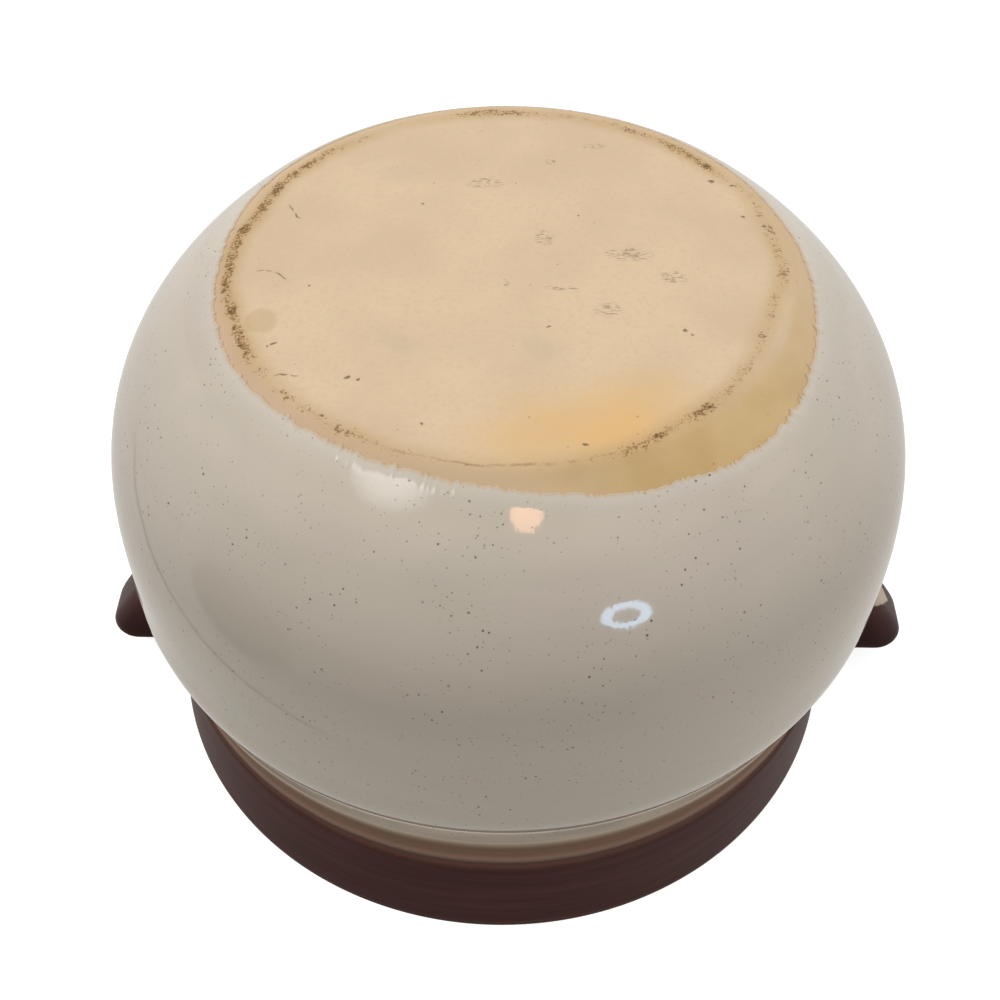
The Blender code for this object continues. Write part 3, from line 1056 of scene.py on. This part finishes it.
def brown_skin():
    """The brown coat's closed section, laid on the clay's outer side."""
    top = length_at_height(collar_top_height)
    full = length_at_height(collar_full_height)
    edge = length_at_height(collar_height - collar_edge_drop)
    end = length_at_height(collar_end_height)
    places = [top + (edge - top) * step / collar_upper_steps for step in range(collar_upper_steps + 1)]
    places += [edge + (end - edge) * step / collar_lower_steps for step in range(1, collar_lower_steps + 1)]
    outside = []
    for along in places:
        grown = min(1, (along - top) / (full - top))
        closing = min(1, (end - along) / collar_end_ramp)
        base = glaze_thickness - glaze_sunk
        thickness = base + (collar_thickness - base) * grown
        thickness *= math.sqrt(1 - (1 - closing) ** 2)
        point = on_pot(along, thickness, 0)
        outside.append((point.x, point.z))
    inside = []
    for along in places[::-3]:
        point = on_pot(along, -glaze_sunk, 0)
        inside.append((point.x, point.z))
    return outside + inside


def brown_glaze(name, with_rings):
    """Dark iron brown glaze, streaked round the pot, that breaks to tan where it is thin on the rings; the
    rings hold painted light and shade too.
    """
    material, shader, place = surface_material(name)
    streaks = mottle(place, streak_grain, 4, stretch=(0.05, 0.05, 1), roughness=0.65)
    clouds = mottle(place, brown_cloud_grain)
    colour = laid_over(rising(streaks, *streak_edges), brown_dark, brown_light)
    colour = layered(colour, brown_red, clouds)
    if with_rings:
        height = add_node(place, "SeparateXYZ", {"Vector": place}).outputs["Z"]
        height = reckoned("ADD", height, scaled(clouds, 2 * ring_waver, -ring_waver))
        values = {"Value": height, "From Min": ring_low_height, "From Max": ring_high_height}
        share = add_node(place, "MapRange", values).outputs[0]
        rings = colour_by(share, ring_stops)
        colour = laid_over(rising(share, *ring_edges), colour, rings)
    surfaced(shader, colour, brown_gloss, streaks, brown_relief)
    return material


finished(
    "collar_coat",
    leant(spun(brown_skin(), collar_turn_steps, closed=True)),
    brown_glaze("collar_glaze_finish", True),
    "collar_glaze",
)

# Inside glaze
# The same brown glaze, poured in and swilled round, lines the pot from the middle of its floor to the lip.
liner_thickness = 0.0007
liner_end_height = 0.001


def liner_section():
    """The liner's section, from its clay side at the middle of the floor to its hollow side there."""
    line = [point for point in inner_line() if point.y > liner_end_height]
    clay_side = moved_out(line, glaze_sunk)
    hollow_side = moved_out(line, -liner_thickness)
    clay_side[0].x = 0
    hollow_side[0].x = 0
    return clay_side + hollow_side[::-1]


inside_finish = brown_glaze("inside_glaze_finish", False)
inside_shape = leant(spun(liner_section(), body_turn_steps))
finished("inside_coat", inside_shape, inside_finish, "liner_glaze")

# Handle lugs
# Two solid lugs of the same clay, pressed on over the collar, the neck and the belly's lower edge, smoothed
# in by thumb and dipped with the collar. Each is lofted level by level, with a small fillet at the pot.
lug_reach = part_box("handle_right")[1].x
lug_half_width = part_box("handle_right")[1].y
lug_base_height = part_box("handle_right")[0].z
lug_top_height = 0.048
lug_top_reach = 0.0758
lug_root_radius = 0.0692
lug_corner_round = 0.0075
lug_edge_round = 0.0022
lug_lean_power = 1.1
lug_taper_share = 0.25
lug_fillet = 0.0022
lug_levels = 30
lug_edge_steps = 6
lug_corner_steps = 12
lug_side_steps = 14
# Lit and shaded copies of the lugs' brown: darker low down as painted shade, lighter towards the top as
# painted light.
lug_shaded_low = (0.034, 0.0135, 0.0115)
lug_lit_top = (0.082, 0.033, 0.027)
lug_red = ((0.06, 0.02, 0.0165), 0.4, 0.7, 0.5)
lug_grey = ((0.085, 0.048, 0.04), 0.5, 0.8, 0.35)
lug_tan = ((0.44, 0.365, 0.275), 0.016, 0.017, 1.0)
lug_gloss = {"Roughness": 0.35, "Specular IOR Level": 0.05}
lug_relief = {"Strength": 0.2, "Distance": 0.0006}
lug_cloud_grain = 140
lug_run_grain = 300
lug_lit_heights = (0.01, 0.03)
# The tan run is a tongue down the middle of the right lug's top.
tan_slope = 0.97
tan_waver = 0.003
tan_places = (0.08, 0.082)


def pot_radius(height):
    """The radius of the glazed pot's outer side at one height below the belly's widest line."""
    return on_pot(length_at_height(height), glaze_thickness, 0).x


def lug_ring(shape, side, height, reach, half_width, corner):
    """One level of a lug: a flat back inside the wall, flaring sides and a round front."""
    wall = pot_radius(height)
    outline = []
    for step in range(lug_side_steps):
        along = lug_root_radius + (reach - corner - lug_root_radius) * step / lug_side_steps
        outline.append((along, half_width))
    for step in range(lug_corner_steps + 1):
        angle = math.pi / 2 * step / lug_corner_steps
        along = reach - corner + corner * math.sin(angle)
        outline.append((along, half_width - corner + corner * math.cos(angle)))
    points = []
    for along, across in outline + [(along, -across) for along, across in outline[::-1]]:
        clear = min(1, max(0, math.hypot(along, across) - wall) / lug_fillet)
        flare = lug_fillet * (1 - math.sqrt(1 - (1 - clear) ** 2))
        across += math.copysign(flare, across) if abs(across) > half_width * 0.5 else 0
        points.append(shape.verts.new((side * along, side * across, height)))
    return [shape.edges.new(pair) for pair in zip(points, points[1:] + points[:1])]


def lug(side):
    shape = bmesh.new()
    rings = []
    for step in range(lug_edge_steps + 1):
        angle = math.pi / 2 * step / lug_edge_steps
        inset = lug_edge_round * (1 - math.sin(angle))
        height = lug_base_height + lug_edge_round * (1 - math.cos(angle))
        corner = lug_corner_round - inset
        rings.append(lug_ring(shape, side, height, lug_reach - inset, lug_half_width - inset, corner))
    start = lug_base_height + lug_edge_round
    for step in range(1, lug_levels + 1):
        share = step / lug_levels
        height = start + (lug_top_height - start) * share
        reach = lug_reach - (lug_reach - lug_top_reach) * share**lug_lean_power
        narrowing = 1 - lug_taper_share * share
        corner = min(lug_corner_round * narrowing, reach - lug_root_radius)
        rings.append(lug_ring(shape, side, height, reach, lug_half_width * narrowing, corner))
    bmesh.ops.bridge_loops(shape, edges=[edge for ring in rings for edge in ring])
    for end in (rings[0], rings[-1]):
        bmesh.ops.contextual_create(shape, geom=end)
    bmesh.ops.recalc_face_normals(shape, faces=shape.faces)
    return shape


def lug_glaze():
    """The collar's brown on the lugs, with painted light on top and painted shade below, and tan on the
    right one's top.
    """
    material, shader, place = surface_material("lug_glaze_finish")
    parts = add_node(place, "SeparateXYZ", {"Vector": place}).outputs
    clouds = mottle(place, lug_cloud_grain, 4)
    runs = mottle(place, lug_run_grain, stretch=(1, 1, 0.2))
    # Painted light and shade: the lug's brown runs from dark low down to lighter towards the top.
    colour = laid_over(rising(parts["Z"], *lug_lit_heights), lug_shaded_low, lug_lit_top)
    colour = layered(colour, lug_red, clouds)
    colour = layered(colour, lug_grey, runs)
    slanting = scaled(reckoned("ABSOLUTE", parts["Y"]), -tan_slope, parts["Z"])
    wavy = scaled(clouds, tan_waver, slanting)
    colour = layered(colour, lug_tan, wavy, rising(parts["X"], *tan_places))
    surfaced(shader, colour, lug_gloss, clouds, lug_relief)
    return material


lug_finish = lug_glaze()
finished("lug_left", lug(-1), lug_finish, "handle_left")
finished("lug_right", lug(1), lug_finish, "handle_right")
